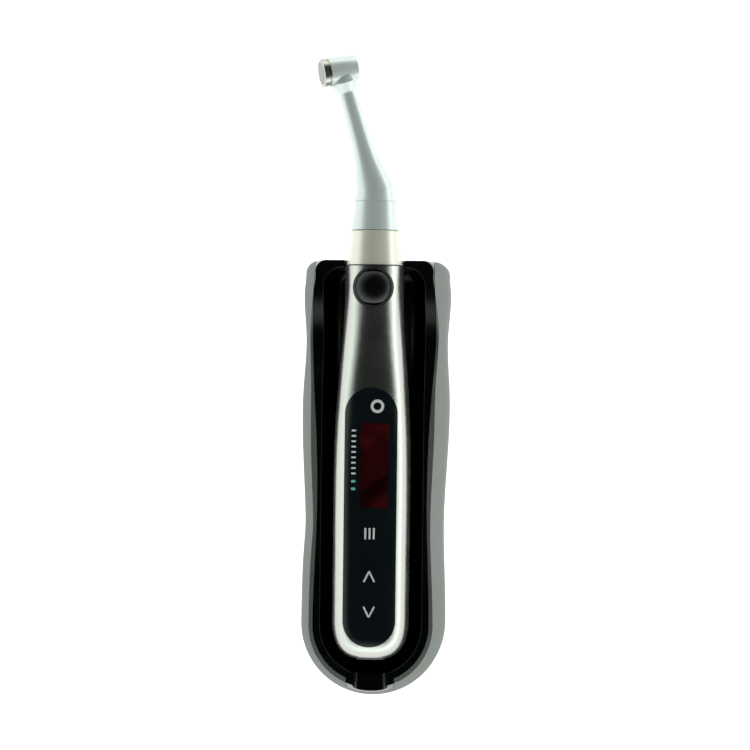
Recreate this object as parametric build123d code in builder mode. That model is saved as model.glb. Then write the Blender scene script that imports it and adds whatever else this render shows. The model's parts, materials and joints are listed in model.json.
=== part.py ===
from build123d import *
import os
from math import copysign, cos, pi, radians, sin

os.makedirs("parts", exist_ok=True)

# Cordless endodontic motor: a battery handpiece with a swivelling contra-angle, lying in its charging base.
#
# Row frame (mm): +Z up, +X to the user's right, +Y towards the contra-angle. The origin is on the table,
# in the middle of the base's grip pad. The handpiece lies on a deck that slopes up towards the nose. Deck
# coordinates are x across, y along the handpiece's axis from its flat tail end, and z out of the deck.

# ------------------------------------------------------------------------------ driving dimensions
# Deck and base
deck_tilt = 7.0  # slope of the deck, degrees
axis_height = 23.0  # handpiece axis above the table, at the tail
base_half_width = 23.2
base_low_gap = 13.1  # base's low end, beyond the tail
base_head_gap = 1.9  # base's head end, beyond the handle shells
base_corner = 4.0  # corner radius at the head end
base_wall = 2.8
flank_start = -14.0  # deck height where the flank begins to lean in
flank_height = 17.0
flank_lean = 4.5  # how far the flank leans in over that height
flank_power = 1.5
waist_from_head = 24.0  # finger waist, back from the base's head end
swell_from_head = 42.0
side_draw = 1.0  # how far the sides draw in midway
side_draw_place = 33.0  # from the centre of the round low end
waist_depth = 0.6  # how far the outer plan draws in at the waist
rim_dip = 5.0  # how far the rim drops at the waist
rim_low, rim_mid, rim_ear = -0.8, 0.8, 1.8  # deck heights of the rim, low end to head end
shell_solid = 8.0  # depth of the shell's solid rim band, below the handpiece's axis
seam = 0.15  # gap between fitted covers
lift_clearance = 0.35  # gap between the lying handpiece and the base

# Tray
tray_half_width = 18.5
tray_waist_growth = 1.2
tray_wall = 2.3  # at its thickest, where the sides don't draw in
tray_floor_wall = 1.8
tray_floor_drop = 2.0  # tray floor below the handle's belly
tray_floor_round = 5.0
tray_corner = 6.0  # cavity's plan corners at the head end
tray_end_wall = 2.4
apron_drop = 11.0  # how deep the tray's end wall shows outside, below the handpiece's axis
notch_width = 11.2
notch_lining = 2.0
notch_depth = 4.4  # notch floor below the handpiece's axis
notch_round = 2.5
rim_round = 0.4  # rounding of the tray's outer rim
rest_width, rest_length = 10.0, 4.0  # soft pads under the handpiece

# Screws with a cross recess
cross_width, cross_span, cross_depth = 0.5, 2.2, 0.6

# Bottom of the base
pad_thickness = 1.2
pad_inset = 4.5
plate_thickness = 2.0
shell_float = 0.9  # shell's bottom edge above the table
plate_lap = 1.4  # how far the shell rests on the plate's rim
plate_corner = 2.5
post_radius = 2.6
post_x, post_low_y, post_head_y = 12.0, 24.0, 86.0
board_post_x, board_post_y = 8.0, 104.0
plate_screw_radius = 0.95
plate_screw_head = 1.8
plate_screw_head_height = 1.1
plate_screw_reach = 2.6  # thread into the post, above the plate

# Charging contacts and supply
pin_spacing = 8.0
pin_from_tail = 12.0
pin_radius = 0.75
pin_travel = 0.6
pin_gap = 0.3  # pin's tip below the handpiece's contact
pin_tip_round = 0.45
pin_flange, pin_flange_thickness, pin_flange_gap = 1.15, 0.5, 0.3
block_height, block_width, block_margin = 3.0, 7.0, 4.0
pad_radius = 2.0
board_thickness = 1.2
charge_board_width, charge_board_length = 22.0, 27.0
charge_board_drop = 26.0  # board's top, below the handpiece's axis
usb_width, usb_height, usb_length, usb_skin = 8.9, 3.2, 7.3, 0.3
usb_recess, usb_back, usb_tongue = 0.8, 0.8, 0.7
lead_width, lead_thickness = 4.0, 0.5
bore_clearance = 0.05  # radial, between a pin or shaft and its bore

# Handle
handle_length = 125.0
grip_half_width = 12.2
grip_top = 11.8
grip_belly = 14.0
grip_power = 2.8  # squareness of the grip's section; 2 is an ellipse
neck_radius = 9.35
shell_wall = 1.8
tail_round = 14.0  # length of the rounded tail
tail_blunt = 0.8  # how much of that rounding the flat tail end cuts off
tail_power = 2.8
grip_growth = [(62.0, 1.0), (47.0, 0.85), (37.0, 0.6), (25.0, 0.25), (11.0, 0.04), (0.0, 0.0)]
outline_points = 28

# Control panel and button
panel_start = 3.8  # panel's lower end, from the tail
panel_length = 82.3
panel_width = 16.5
panel_thickness = 1.0
window_width, window_length = 9.0, 27.0
window_offset = 1.2  # window's centre, to the right of the panel's
window_from_tail = 61.5
button_from_nose = 6.9
button_radius = 5.45
button_gap = 0.35
button_cup_wall = 0.7
button_cup_floor = 1.0
button_floor_height = 6.0  # deck height of the cup's floor
button_dome = 10.9  # deck height of the dome's top
button_edge = 8.9
button_travel = 0.6
stem_radius, stem_length = 0.8, 0.85
switch_width, plunger_radius = 4.2, 0.9

# Inside the handle
cell_radius, cell_length = 9.1, 50.0
cell_from_tail = 10.0
cell_drop = 2.6  # cell's axis below the handpiece's
cell_cap_radius, cell_cap_height = 2.6, 0.8
tab_width, tab_height, tab_thickness, tab_gap = 7.0, 10.0, 0.4, 0.1
rib_thickness = 2.0
main_board_width, main_board_end = 12.4, 74.0
main_board_height = 7.3  # deck height of its underside
display_thickness = 1.4
chip_height = 0.7
handle_screw_x, handle_screw_y = 8.0, 68.0
handle_boss = 2.6
handle_screw_radius, handle_screw_head, handle_screw_head_height = 0.8, 1.7, 1.4
head_seat_depth = 5.0  # screw head's seat, below the handpiece's axis
motor_radius, motor_length = 6.5, 30.0
motor_boss_radius, motor_boss = 2.5, 1.2
terminal_x, terminal_width, terminal_height, terminal_reach = 4.0, 0.4, 1.6, 3.0
gearhead_radius, gearhead_length = 4.0, 23.0
gearhead_reach = 6.0  # gearhead's front face, beyond the shells
output_radius = 1.0
output_depth = 7.0

# Nose
gasket_thickness = 0.4
collar_length = 11.0
collar_rear_radius, collar_front_radius = 8.95, 7.85
collar_wall = 1.6
spigot_radius, spigot_bore = 4.0, 2.4
spigot_reach = 7.3  # beyond the collar's front face
ring_groove_depth = 0.5
ring_from_collar, ring_length = 3.3, 1.4
ring_thickness = 1.05
dog_length, dog_gap, dog_radius, dog_tooth = 1.2, 0.25, 1.9, 0.8

# Contra-angle
swivel_rest = 17.8  # how far the push cap is turned up out of the deck, degrees
elbow_angle = 17.0
elbow_from_collar = 12.4
sleeve_gap = 0.15
sleeve_length = 9.4
sleeve_rear_radius, sleeve_front_radius = 8.0, 7.05
sleeve_front_chamfer = 0.2
elbow_radius = 6.4
neck_length = 40.2  # elbow to the centre of the head
neck_end_radius = 2.8
neck_wall = 0.8
head_lean = 9.6  # head's axis off square to the handle, degrees
root_end, root_end_radius = 7.0, 3.45  # head's root, measured from the head's centre down the neck
root_start, root_start_radius = 4.0, 5.1
head_radius = 4.75
head_mouth_radius = 4.6
head_foot_radius = 4.5
head_low, head_high = 5.0, 4.3  # housing below and above the neck's axis
head_bore = 3.5
ring_height = 0.8
cap_ring_height = 1.6
cap_lip, cap_lip_height = 3.5, 0.55
cap_radius, cap_height = 3.4, 0.95
cap_flange, cap_flange_height = 3.75, 0.3
cap_travel = 0.4
shank_radius = 1.18
spindle_radius = 1.6
chuck_mouth_radius = 1.9

# Gears
elbow_teeth, elbow_tooth_in, elbow_tooth_out = 8, 2.1, 2.9
elbow_tooth_width, elbow_tooth_height = 0.75, 0.45
pinion_teeth, crown_teeth = 8, 16
pinion_root, pinion_tip = 0.95, 1.4
pinion_tooth_width = 0.34
mesh_near, mesh_far = 2.05, 2.95  # engaged length, from the head's axis
mesh_clearance = 0.12
gear_disc = 0.8
neck_shaft_radius = 0.8
drive_shaft_radius = 1.0

# ------------------------------------------------------------------------------------------ frames
tilt = radians(deck_tilt)
base_low_end = -base_low_gap
base_head_end = handle_length + base_head_gap
tail_setback = ((base_low_end + base_head_end) / 2 + axis_height * sin(tilt)) / cos(tilt)
deck = Plane(origin=(0, -tail_setback, axis_height), x_dir=(1, 0, 0), z_dir=(0, -sin(tilt), cos(tilt)))
handle_axis = Axis(deck.origin, deck.y_dir)


def level(height):
    """Plane parallel to the deck. Its local x runs across and its local y along the handpiece."""
    return deck.offset(height)


def station(y):
    """Plane square to the handpiece's axis. Its local y points out of the deck, its normal to the nose."""
    return Plane(deck.from_local_coords((0, y, 0)), x_dir=-deck.x_dir, z_dir=deck.y_dir)


def side(x=0):
    """Plane along the handpiece. Its local x runs towards the nose and its local y out of the deck."""
    return Plane(deck.from_local_coords((x, 0, 0)), x_dir=deck.y_dir, z_dir=deck.x_dir)


# The contra-angle bends in its own plane, turned about the handpiece's axis. "back" points to the push cap.
collar_start = handle_length + gasket_thickness
collar_end = collar_start + collar_length
turn = radians(swivel_rest)
back = deck.x_dir * -cos(turn) + deck.z_dir * sin(turn)
nose = Plane(deck.from_local_coords((0, collar_end, 0)), x_dir=deck.y_dir, z_dir=deck.y_dir.cross(back))
bend, lean = radians(elbow_angle), radians(head_lean)
neck_dir = deck.y_dir * cos(bend) + back * sin(bend)
cap_dir = back * cos(lean) - deck.y_dir * sin(lean)
elbow_point = nose.from_local_coords((elbow_from_collar, 0, 0))
head_point = elbow_point + neck_dir * neck_length
neck = Plane(elbow_point, x_dir=neck_dir, z_dir=nose.z_dir)  # local x along the neck from the elbow
head = Plane(head_point, x_dir=nose.z_dir, z_dir=cap_dir)  # local z towards the push cap
# The head's cutting plane: its local x is radial and its local y points to the push cap
head_side = Plane(head_point, x_dir=cap_dir.cross(nose.z_dir), z_dir=nose.z_dir)
mitre = Plane(elbow_point, x_dir=nose.z_dir, z_dir=neck_dir + deck.y_dir)
neck_axis = Axis(elbow_point, neck_dir)
head_axis = Axis(head_point, cap_dir)


# --------------------------------------------------------------------------------- shared outlines
def tail_share(y):
    """Share of the grip's full section, y from the flat tail end."""
    if y >= tail_round:
        return 1.0
    reach = (tail_round - y) / (tail_round + tail_blunt)
    return (1 - reach**tail_power) ** (1 / tail_power)


def oval(plane, half_width, top, belly, power):
    """Closed superellipse, flatter above than below, on a plane square to the handpiece."""
    points = []
    for step in range(outline_points):
        angle = 2 * pi * step / outline_points - pi / 2
        across, up = cos(angle), sin(angle)
        height = top if up > 0 else belly
        points.append(
            (
                copysign(abs(across) ** (2 / power), across) * half_width,
                copysign(abs(up) ** (2 / power), up) * height,
            )
        )
    with BuildSketch(plane) as outline:
        with BuildLine():
            Spline(*points, periodic=True)
        make_face()
    return outline.sketch


def handle_form(inset, overrun=0.0):
    """Solid inside the handle's outer surface, drawn in by inset. overrun carries it past the nose end."""
    sections = []
    for y in (0.0, 0.11 * tail_round, 0.27 * tail_round, 0.53 * tail_round, tail_round, 2 * tail_round):
        share = tail_share(y)
        place = y + inset * max(0.0, 1 - y / tail_round)
        sections.append(
            oval(
                station(place),
                grip_half_width * share - inset,
                grip_top * share - inset,
                grip_belly * share - inset,
                grip_power,
            )
        )
    for from_nose, growth in grip_growth:
        place = handle_length - from_nose + (overrun if from_nose == 0 else 0)
        sections.append(
            oval(
                station(place),
                neck_radius + growth * (grip_half_width - neck_radius) - inset,
                neck_radius + growth * (grip_top - neck_radius) - inset,
                neck_radius + growth * (grip_belly - neck_radius) - inset,
                2 + growth * (grip_power - 2),
            )
        )
    with BuildPart() as form:
        loft(sections)
    return form.part


def base_plan(height, half_width, waist_growth, end_inset=0.0, corner=base_corner):
    """Base outline on a level: round low end, gently waisted sides, square head end with round corners."""
    round_centre = base_low_end + base_half_width
    head_end = base_head_end - end_inset
    ear = max(0.0, waist_growth)
    tip = half_width - 0.3 + 0.7 * ear
    corner_start = head_end - corner
    corner_mid = corner * (1 - cos(pi / 4))
    right = [
        (half_width, round_centre),
        (half_width - side_draw, round_centre + side_draw_place),
        (half_width + 0.2, base_head_end - swell_from_head),
        (half_width + waist_growth, base_head_end - waist_from_head),
        (half_width + 0.1 + 0.6 * ear, base_head_end - waist_from_head / 2.6),
        (tip, corner_start),
    ]
    left = [(-x, y) for x, y in reversed(right)]
    with BuildSketch(level(height)) as plan:
        with BuildLine():
            Spline(*right, tangents=[(0, 1), (0, 1)])
            ThreePointArc(
                (tip, corner_start),
                (tip - corner_mid, head_end - corner_mid),
                (tip - corner, head_end),
            )
            Line((tip - corner, head_end), (corner - tip, head_end))
            ThreePointArc(
                (corner - tip, head_end),
                (corner_mid - tip, head_end - corner_mid),
                (-tip, corner_start),
            )
            Spline(*left, tangents=[(0, -1), (0, -1)])
            ThreePointArc(
                (-half_width, round_centre),
                (0, round_centre - half_width),
                (half_width, round_centre),
            )
        make_face()
    return plan.sketch


def flank_half_width(height):
    """Half width of the base's outer surface at a deck height."""
    rise = max(0.0, height - flank_start) / flank_height
    return base_half_width - flank_lean * rise**flank_power


# ---------------------------------------------------------------------- construction forms: handle
outer_form = handle_form(0)
bed_form = handle_form(panel_thickness, overrun=1.0)
inner_form = handle_form(shell_wall, overrun=1.0)
tall = grip_top * 3  # any height that clears the handle

panel_middle = panel_start + panel_length / 2

with BuildPart() as panel_pocket:
    with BuildSketch(level(0)):
        with Locations((0, panel_middle)):
            SlotOverall(panel_length + 2 * seam, panel_width + 2 * seam, rotation=90)
    extrude(amount=tall)
    add(bed_form, mode=Mode.SUBTRACT)

with BuildPart() as window_tool:
    with BuildSketch(level(0)):
        with Locations((window_offset, window_from_tail)):
            Rectangle(window_width, window_length)
    extrude(amount=tall)

with BuildPart() as shell_skin:
    add(outer_form)
    add(inner_form, mode=Mode.SUBTRACT)

# Tail opening, shared by both shells
tail_cap_width, tail_cap_height, tail_cap_drop = 9.6, 5.0, 0.6
tail_cap_proud, tail_cap_round = 0.8, 0.5
with BuildPart() as tail_opening:
    with BuildSketch(station(-1)):
        with Locations((0, -tail_cap_drop)):
            SlotOverall(tail_cap_width + 2 * seam, tail_cap_height + 2 * seam)
    extrude(amount=shell_wall + 2)

button_y = handle_length - button_from_nose
cup_inner = button_radius + button_gap
cup_outer = cup_inner + button_cup_wall

# ---------------------------------------------------------------------------------- handle: shells
with BuildPart() as upper_shell:
    with BuildSketch(level(0)):
        with Locations((handle_screw_x, handle_screw_y), (-handle_screw_x, handle_screw_y)):
            Circle(handle_boss)
    extrude(amount=main_board_height - 0.5)
    add(outer_form, mode=Mode.INTERSECT)
    add(shell_skin.part)
    split(bisect_by=deck, keep=Keep.TOP)
    add(panel_pocket.part, mode=Mode.SUBTRACT)
    add(window_tool.part, mode=Mode.SUBTRACT)
    add(tail_opening.part, mode=Mode.SUBTRACT)
    with BuildSketch(level(0)):
        with Locations((0, button_y)):
            Circle(cup_outer + seam / 2)
    extrude(amount=tall, mode=Mode.SUBTRACT)
    with BuildSketch(level(0)):
        with Locations((handle_screw_x, handle_screw_y), (-handle_screw_x, handle_screw_y)):
            Circle(handle_screw_radius)
    extrude(amount=main_board_height - 1.5, mode=Mode.SUBTRACT)
upper_shell.part.label = "upper_shell"
export_step(upper_shell.part, "parts/upper_shell.step")

with BuildPart() as lower_shell:
    with BuildSketch(level(-tall)):
        with Locations((handle_screw_x, handle_screw_y), (-handle_screw_x, handle_screw_y)):
            Circle(handle_boss)
    extrude(amount=tall)
    add(outer_form, mode=Mode.INTERSECT)
    add(shell_skin.part)
    split(bisect_by=deck, keep=Keep.BOTTOM)
    add(tail_opening.part, mode=Mode.SUBTRACT)
    with BuildSketch(level(-tall)):
        with Locations((handle_screw_x, handle_screw_y), (-handle_screw_x, handle_screw_y)):
            Circle(handle_screw_radius + bore_clearance)
    extrude(amount=tall, mode=Mode.SUBTRACT)
    with BuildSketch(level(-tall)):
        with Locations((handle_screw_x, handle_screw_y), (-handle_screw_x, handle_screw_y)):
            Circle(handle_screw_head + seam)
    extrude(amount=tall - head_seat_depth, mode=Mode.SUBTRACT)
    with BuildSketch(level(-tall)):
        with Locations((pin_spacing / 2, pin_from_tail), (-pin_spacing / 2, pin_from_tail)):
            Circle(pad_radius + bore_clearance)
    extrude(amount=tall - cell_drop, mode=Mode.SUBTRACT)
lower_shell.part.label = "lower_shell"
export_step(lower_shell.part, "parts/lower_shell.step")

with BuildPart() as handle_screws:
    with BuildSketch(level(-head_seat_depth)):
        with Locations((handle_screw_x, handle_screw_y), (-handle_screw_x, handle_screw_y)):
            Circle(handle_screw_radius)
    extrude(amount=head_seat_depth + main_board_height - 2)
    with BuildSketch(level(-head_seat_depth)):
        with Locations((handle_screw_x, handle_screw_y), (-handle_screw_x, handle_screw_y)):
            Circle(handle_screw_head)
    extrude(amount=-handle_screw_head_height)
    with BuildSketch(level(-head_seat_depth - handle_screw_head_height)):
        with Locations((handle_screw_x, handle_screw_y), (-handle_screw_x, handle_screw_y)):
            Rectangle(cross_width, cross_span)
            Rectangle(cross_span, cross_width)
    extrude(amount=cross_depth, mode=Mode.SUBTRACT)
handle_screws.part.label = "handle_screws"
export_step(handle_screws.part, "parts/handle_screws.step")

with BuildPart() as tail_cap:
    with BuildSketch(station(-tail_cap_proud)):
        with Locations((0, -tail_cap_drop)):
            SlotOverall(tail_cap_width, tail_cap_height)
    extrude(amount=tail_cap_proud + shell_wall)
    fillet(tail_cap.edges().group_by(handle_axis)[0], tail_cap_round)
    with BuildSketch(station(shell_wall + 0.1)):
        with Locations((0, -tail_cap_drop)):
            SlotOverall(tail_cap_width - 2, tail_cap_height - 1)
    extrude(amount=2.0)
    with BuildSketch(station(shell_wall)):
        with Locations((0, -tail_cap_drop)):
            SlotOverall(tail_cap_width - 3, tail_cap_height - 2)
    extrude(amount=0.1)
tail_cap.part.label = "tail_cap"
export_step(tail_cap.part, "parts/tail_cap.step")

with BuildPart() as contact_pads:
    with BuildSketch(level(-tall)):
        with Locations((pin_spacing / 2, pin_from_tail), (-pin_spacing / 2, pin_from_tail)):
            Circle(pad_radius)
    extrude(amount=tall - grip_belly + shell_wall + 0.6)
    add(outer_form, mode=Mode.INTERSECT)
contact_pads.part.label = "contact_pads"
export_step(contact_pads.part, "parts/contact_pads.step")

# --------------------------------------------------------------------------- handle: control panel
with BuildPart() as panel_lens:
    with BuildSketch(level(0)):
        with Locations((0, panel_middle)):
            SlotOverall(panel_length, panel_width, rotation=90)
    extrude(amount=tall)
    add(outer_form, mode=Mode.INTERSECT)
    add(bed_form, mode=Mode.SUBTRACT)
    add(window_tool.part, mode=Mode.SUBTRACT)
panel_lens.part.label = "panel_lens"
export_step(panel_lens.part, "parts/panel_lens.step")

with BuildPart() as display_window:
    with BuildSketch(level(0)):
        with Locations((window_offset, window_from_tail)):
            Rectangle(window_width - 0.1, window_length - 0.1)
    extrude(amount=tall)
    add(outer_form, mode=Mode.INTERSECT)
    add(bed_form, mode=Mode.SUBTRACT)
display_window.part.label = "display_window"
export_step(display_window.part, "parts/display_window.step")

board_top = main_board_height + board_thickness
with BuildPart() as display_module:
    with BuildSketch(level(board_top + 0.05)):
        with Locations((window_offset, window_from_tail)):
            Rectangle(window_width - 0.4, window_length - 0.4)
    extrude(amount=display_thickness)
display_module.part.label = "display_module"
export_step(display_module.part, "parts/display_module.step")

with BuildPart() as main_board:
    with BuildSketch(level(main_board_height)):
        with Locations((0, (cell_from_tail + main_board_end) / 2)):
            Rectangle(main_board_width, main_board_end - cell_from_tail)
    extrude(amount=board_thickness)
    with BuildSketch(level(board_top)):
        with Locations((0, 19)):
            Rectangle(5, 5)
        with Locations((-2.5, 28), (2.5, 28)):
            Rectangle(3, 4)
        with GridLocations(2.4, 3.2, 3, 3):
            with Locations((0, 38)):
                Rectangle(1.0, 1.6)
    extrude(amount=chip_height)
main_board.part.label = "main_board"
export_step(main_board.part, "parts/main_board.step")

# ---------------------------------------------------------------------------- handle: power button
with BuildPart() as button_cup:
    with BuildSketch(level(button_floor_height - button_cup_floor)):
        with Locations((0, button_y)):
            Circle(cup_outer)
    extrude(amount=tall)
    add(outer_form, mode=Mode.INTERSECT)
    with BuildSketch(level(button_floor_height)):
        with Locations((0, button_y)):
            Circle(cup_inner)
    extrude(amount=tall, mode=Mode.SUBTRACT)
    with BuildSketch(level(0)):
        with Locations((0, button_y)):
            Circle(stem_radius + 0.5)
    extrude(amount=tall, mode=Mode.SUBTRACT)
button_cup.part.label = "button_cup"
export_step(button_cup.part, "parts/button_cup.step")

button_skirt = button_floor_height + button_travel + 0.3
button_rise = button_dome - button_edge
dome_radius = (button_radius**2 + button_rise**2) / (2 * button_rise)
button_axis = Axis(deck.from_local_coords((0, button_y, 0)), deck.z_dir)
with BuildPart() as power_button:
    with BuildSketch(side()):
        with BuildLine():
            Polyline(
                (button_y, button_dome),
                (button_y, button_skirt - stem_length),
                (button_y + stem_radius, button_skirt - stem_length),
                (button_y + stem_radius, button_skirt),
                (button_y + button_radius, button_skirt),
                (button_y + button_radius, button_edge),
            )
            RadiusArc((button_y + button_radius, button_edge), (button_y, button_dome), -dome_radius)
        make_face()
    revolve(axis=button_axis)
power_button.part.label = "power_button"
export_step(power_button.part, "parts/power_button.step")

switch_foot = gearhead_radius + 0.25
switch_top = button_floor_height - button_cup_floor - 0.15
with BuildPart() as button_switch:
    with BuildSketch(level(switch_foot)):
        with Locations((0, button_y)):
            Rectangle(switch_width, switch_width)
    extrude(amount=switch_top - switch_foot)
    with BuildSketch(level(switch_top)):
        with Locations((0, button_y)):
            Circle(plunger_radius)
    extrude(amount=button_skirt - stem_length - button_travel - 0.05 - switch_top)
button_switch.part.label = "button_switch"
export_step(button_switch.part, "parts/button_switch.step")

# ----------------------------------------------------------------------- handle: battery and motor
with BuildPart() as battery:
    with BuildSketch(station(cell_from_tail)):
        with Locations((0, -cell_drop)):
            Circle(cell_radius)
    extrude(amount=cell_length)
    fillet(battery.edges(), 0.6)
    with BuildSketch(station(cell_from_tail + cell_length)):
        with Locations((0, -cell_drop)):
            Circle(cell_cap_radius)
    extrude(amount=cell_cap_height)
battery.part.label = "battery"
export_step(battery.part, "parts/battery.step")

with BuildPart() as battery_tabs:
    with BuildSketch(station(cell_from_tail - tab_gap - tab_thickness)):
        with Locations((0, -cell_drop)):
            Rectangle(tab_width, tab_height)
    extrude(amount=tab_thickness)
    with BuildSketch(station(cell_from_tail + cell_length + cell_cap_height + tab_gap)):
        with Locations((0, -cell_drop)):
            Rectangle(tab_width, tab_height)
    extrude(amount=tab_thickness)
battery_tabs.part.label = "battery_tabs"
export_step(battery_tabs.part, "parts/battery_tabs.step")

with BuildPart() as cell_cradle:
    for rib_y in (cell_from_tail + 6, cell_from_tail + cell_length / 2, cell_from_tail + cell_length - 8):
        with BuildSketch(station(rib_y)):
            with Locations((0, main_board_height - 0.3 - grip_belly)):
                Rectangle(4 * grip_half_width, 2 * grip_belly)
        extrude(amount=rib_thickness)
    add(inner_form, mode=Mode.INTERSECT)
    with BuildSketch(station(cell_from_tail)):
        with Locations((0, -cell_drop)):
            Circle(cell_radius + bore_clearance)
    extrude(amount=cell_length, mode=Mode.SUBTRACT)
cell_cradle.part.label = "cell_cradle"
export_step(cell_cradle.part, "parts/cell_cradle.step")

gearhead_end = handle_length + gearhead_reach
motor_end = gearhead_end - gearhead_length
motor_start = motor_end - motor_length
with BuildPart() as motor_can:
    with BuildSketch(station(motor_start)):
        Circle(motor_radius)
    extrude(amount=motor_length)
    fillet(motor_can.edges(), 0.6)
    with BuildSketch(station(motor_start - motor_boss)):
        Circle(motor_boss_radius)
    extrude(amount=motor_boss)
    with BuildSketch(station(motor_start - terminal_reach)):
        with Locations((terminal_x, 0), (-terminal_x, 0)):
            Rectangle(terminal_width, terminal_height)
    extrude(amount=terminal_reach + 0.2)
motor_can.part.label = "motor_can"
export_step(motor_can.part, "parts/motor_can.step")

with BuildPart() as motor_cradle:
    for rib_y in (motor_start + 5, motor_end - 7):
        with BuildSketch(station(rib_y)):
            Circle(4 * neck_radius)
        extrude(amount=rib_thickness)
    add(inner_form, mode=Mode.INTERSECT)
    with BuildSketch(station(motor_start)):
        Circle(motor_radius + bore_clearance)
    extrude(amount=motor_length, mode=Mode.SUBTRACT)
motor_cradle.part.label = "motor_cradle"
export_step(motor_cradle.part, "parts/motor_cradle.step")

with BuildPart() as gearhead:
    with BuildSketch(station(motor_end)):
        Circle(gearhead_radius)
    extrude(amount=gearhead_length)
    with BuildSketch(station(gearhead_end - output_depth)):
        Circle(output_radius + bore_clearance)
    extrude(amount=output_depth, mode=Mode.SUBTRACT)
gearhead.part.label = "gearhead"
export_step(gearhead.part, "parts/gearhead.step")

# ------------------------------------------------------------------------------------ handle: nose
with BuildPart() as collar_gasket:
    with BuildSketch(station(handle_length)):
        Circle(collar_rear_radius - 0.1)
        Circle(neck_radius - shell_wall - 0.4, mode=Mode.SUBTRACT)
    extrude(amount=gasket_thickness)
collar_gasket.part.label = "collar_gasket"
export_step(collar_gasket.part, "parts/collar_gasket.step")

collar_bore = gearhead_radius + 0.1
flange_start = gearhead_end + 0.05
flange_end = collar_end - collar_wall - 0.05
with BuildPart() as neck_collar:
    with BuildSketch(side()):
        with BuildLine():
            Polyline(
                (collar_start, collar_bore),
                (collar_start, collar_rear_radius),
                (collar_end, collar_front_radius),
                (collar_end, collar_bore),
                (collar_end - collar_wall, collar_bore),
                (collar_end - collar_wall, collar_front_radius - collar_wall),
                (collar_start + collar_wall, collar_front_radius - collar_wall),
                (collar_start + collar_wall, collar_bore),
                close=True,
            )
        make_face()
    revolve(axis=handle_axis)
    chamfer(neck_collar.edges().group_by(handle_axis)[-1].sort_by(SortBy.RADIUS)[-1], 0.35)
neck_collar.part.label = "neck_collar"
export_step(neck_collar.part, "parts/neck_collar.step")

spigot_end = collar_end + spigot_reach
ring_start = collar_end + ring_from_collar
with BuildPart() as motor_spigot:
    with BuildSketch(station(flange_start)):
        Circle(collar_front_radius - collar_wall - seam)
    extrude(amount=flange_end - flange_start)
    with BuildSketch(station(flange_end)):
        Circle(spigot_radius)
    extrude(amount=spigot_end - flange_end)
    with BuildSketch(station(ring_start)):
        Circle(spigot_radius + 1)
        Circle(spigot_radius - ring_groove_depth, mode=Mode.SUBTRACT)
    extrude(amount=ring_length, mode=Mode.SUBTRACT)
    with BuildSketch(station(flange_start)):
        Circle(spigot_bore)
    extrude(amount=spigot_end - flange_start, mode=Mode.SUBTRACT)
motor_spigot.part.label = "motor_spigot"
export_step(motor_spigot.part, "parts/motor_spigot.step")

ring_inner = spigot_radius - ring_groove_depth + bore_clearance
with BuildPart() as friction_ring:
    with BuildSketch(station(ring_start + 0.1)):
        Circle(ring_inner + ring_thickness)
        Circle(ring_inner, mode=Mode.SUBTRACT)
    extrude(amount=ring_length - 0.2)
friction_ring.part.label = "friction_ring"
export_step(friction_ring.part, "parts/friction_ring.step")

# The sprung dog clutch between the motor and the contra-angle: two half dogs, face to face
clutch_face = collar_end + ring_from_collar + ring_length
with BuildPart() as motor_shaft:
    with BuildSketch(station(gearhead_end - output_depth + 0.2)):
        Circle(output_radius)
    extrude(amount=clutch_face - dog_length - gearhead_end + output_depth - 0.2)
    with BuildSketch(station(clutch_face - dog_length)):
        Circle(dog_radius)
    extrude(amount=dog_length - dog_tooth)
    with BuildSketch(station(clutch_face - dog_tooth)):
        Rectangle(2 * dog_radius, dog_tooth)
    extrude(amount=dog_tooth)
motor_shaft.part.label = "motor_shaft"
export_step(motor_shaft.part, "parts/motor_shaft.step")

# ---------------------------------------------------------------------------- contra-angle: sleeve
sleeve_start = collar_end + sleeve_gap
sleeve_end = collar_end + sleeve_length
sleeve_bore = ring_inner + ring_thickness + 0.1
bearing_seat = 3.6
seat_start = spigot_end + 0.3
with BuildPart() as contra_sleeve:
    with BuildSketch(side()):
        with BuildLine():
            Polyline(
                (sleeve_start, sleeve_bore),
                (sleeve_start, sleeve_rear_radius),
                (sleeve_end, sleeve_front_radius),
                (sleeve_end, bearing_seat),
                (seat_start, bearing_seat),
                (seat_start, sleeve_bore),
                close=True,
            )
        make_face()
    revolve(axis=handle_axis)
    chamfer(
        contra_sleeve.edges().group_by(handle_axis)[-1].sort_by(SortBy.RADIUS)[-1], sleeve_front_chamfer
    )
contra_sleeve.part.label = "contra_sleeve"
export_step(contra_sleeve.part, "parts/contra_sleeve.step")

with BuildPart() as drive_bearing:
    with BuildSketch(station(seat_start + 0.1)):
        Circle(bearing_seat - 0.02)
        Circle(drive_shaft_radius + bore_clearance, mode=Mode.SUBTRACT)
    extrude(amount=sleeve_end - seat_start - 0.2)
drive_bearing.part.label = "drive_bearing"
export_step(drive_bearing.part, "parts/drive_bearing.step")

# -------------------------------------------------------------------- contra-angle: elbow and neck
elbow_y = collar_end + elbow_from_collar
gear_face = (elbow_tooth_height + mesh_clearance + elbow_tooth_out * sin(bend)) / (1 + cos(bend))
elbow_bore = elbow_tooth_out + 0.9
neck_end = neck_length - root_end
with BuildPart() as elbow_form:
    with BuildSketch(side()):
        with BuildLine():
            Polyline(
                (sleeve_end, 0),
                (sleeve_end, sleeve_front_radius),
                (elbow_y, elbow_radius),
                (elbow_y + elbow_radius, elbow_radius),
                (elbow_y + elbow_radius, 0),
                close=True,
            )
        make_face()
    revolve(axis=handle_axis)
    split(bisect_by=mitre, keep=Keep.BOTTOM)

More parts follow.
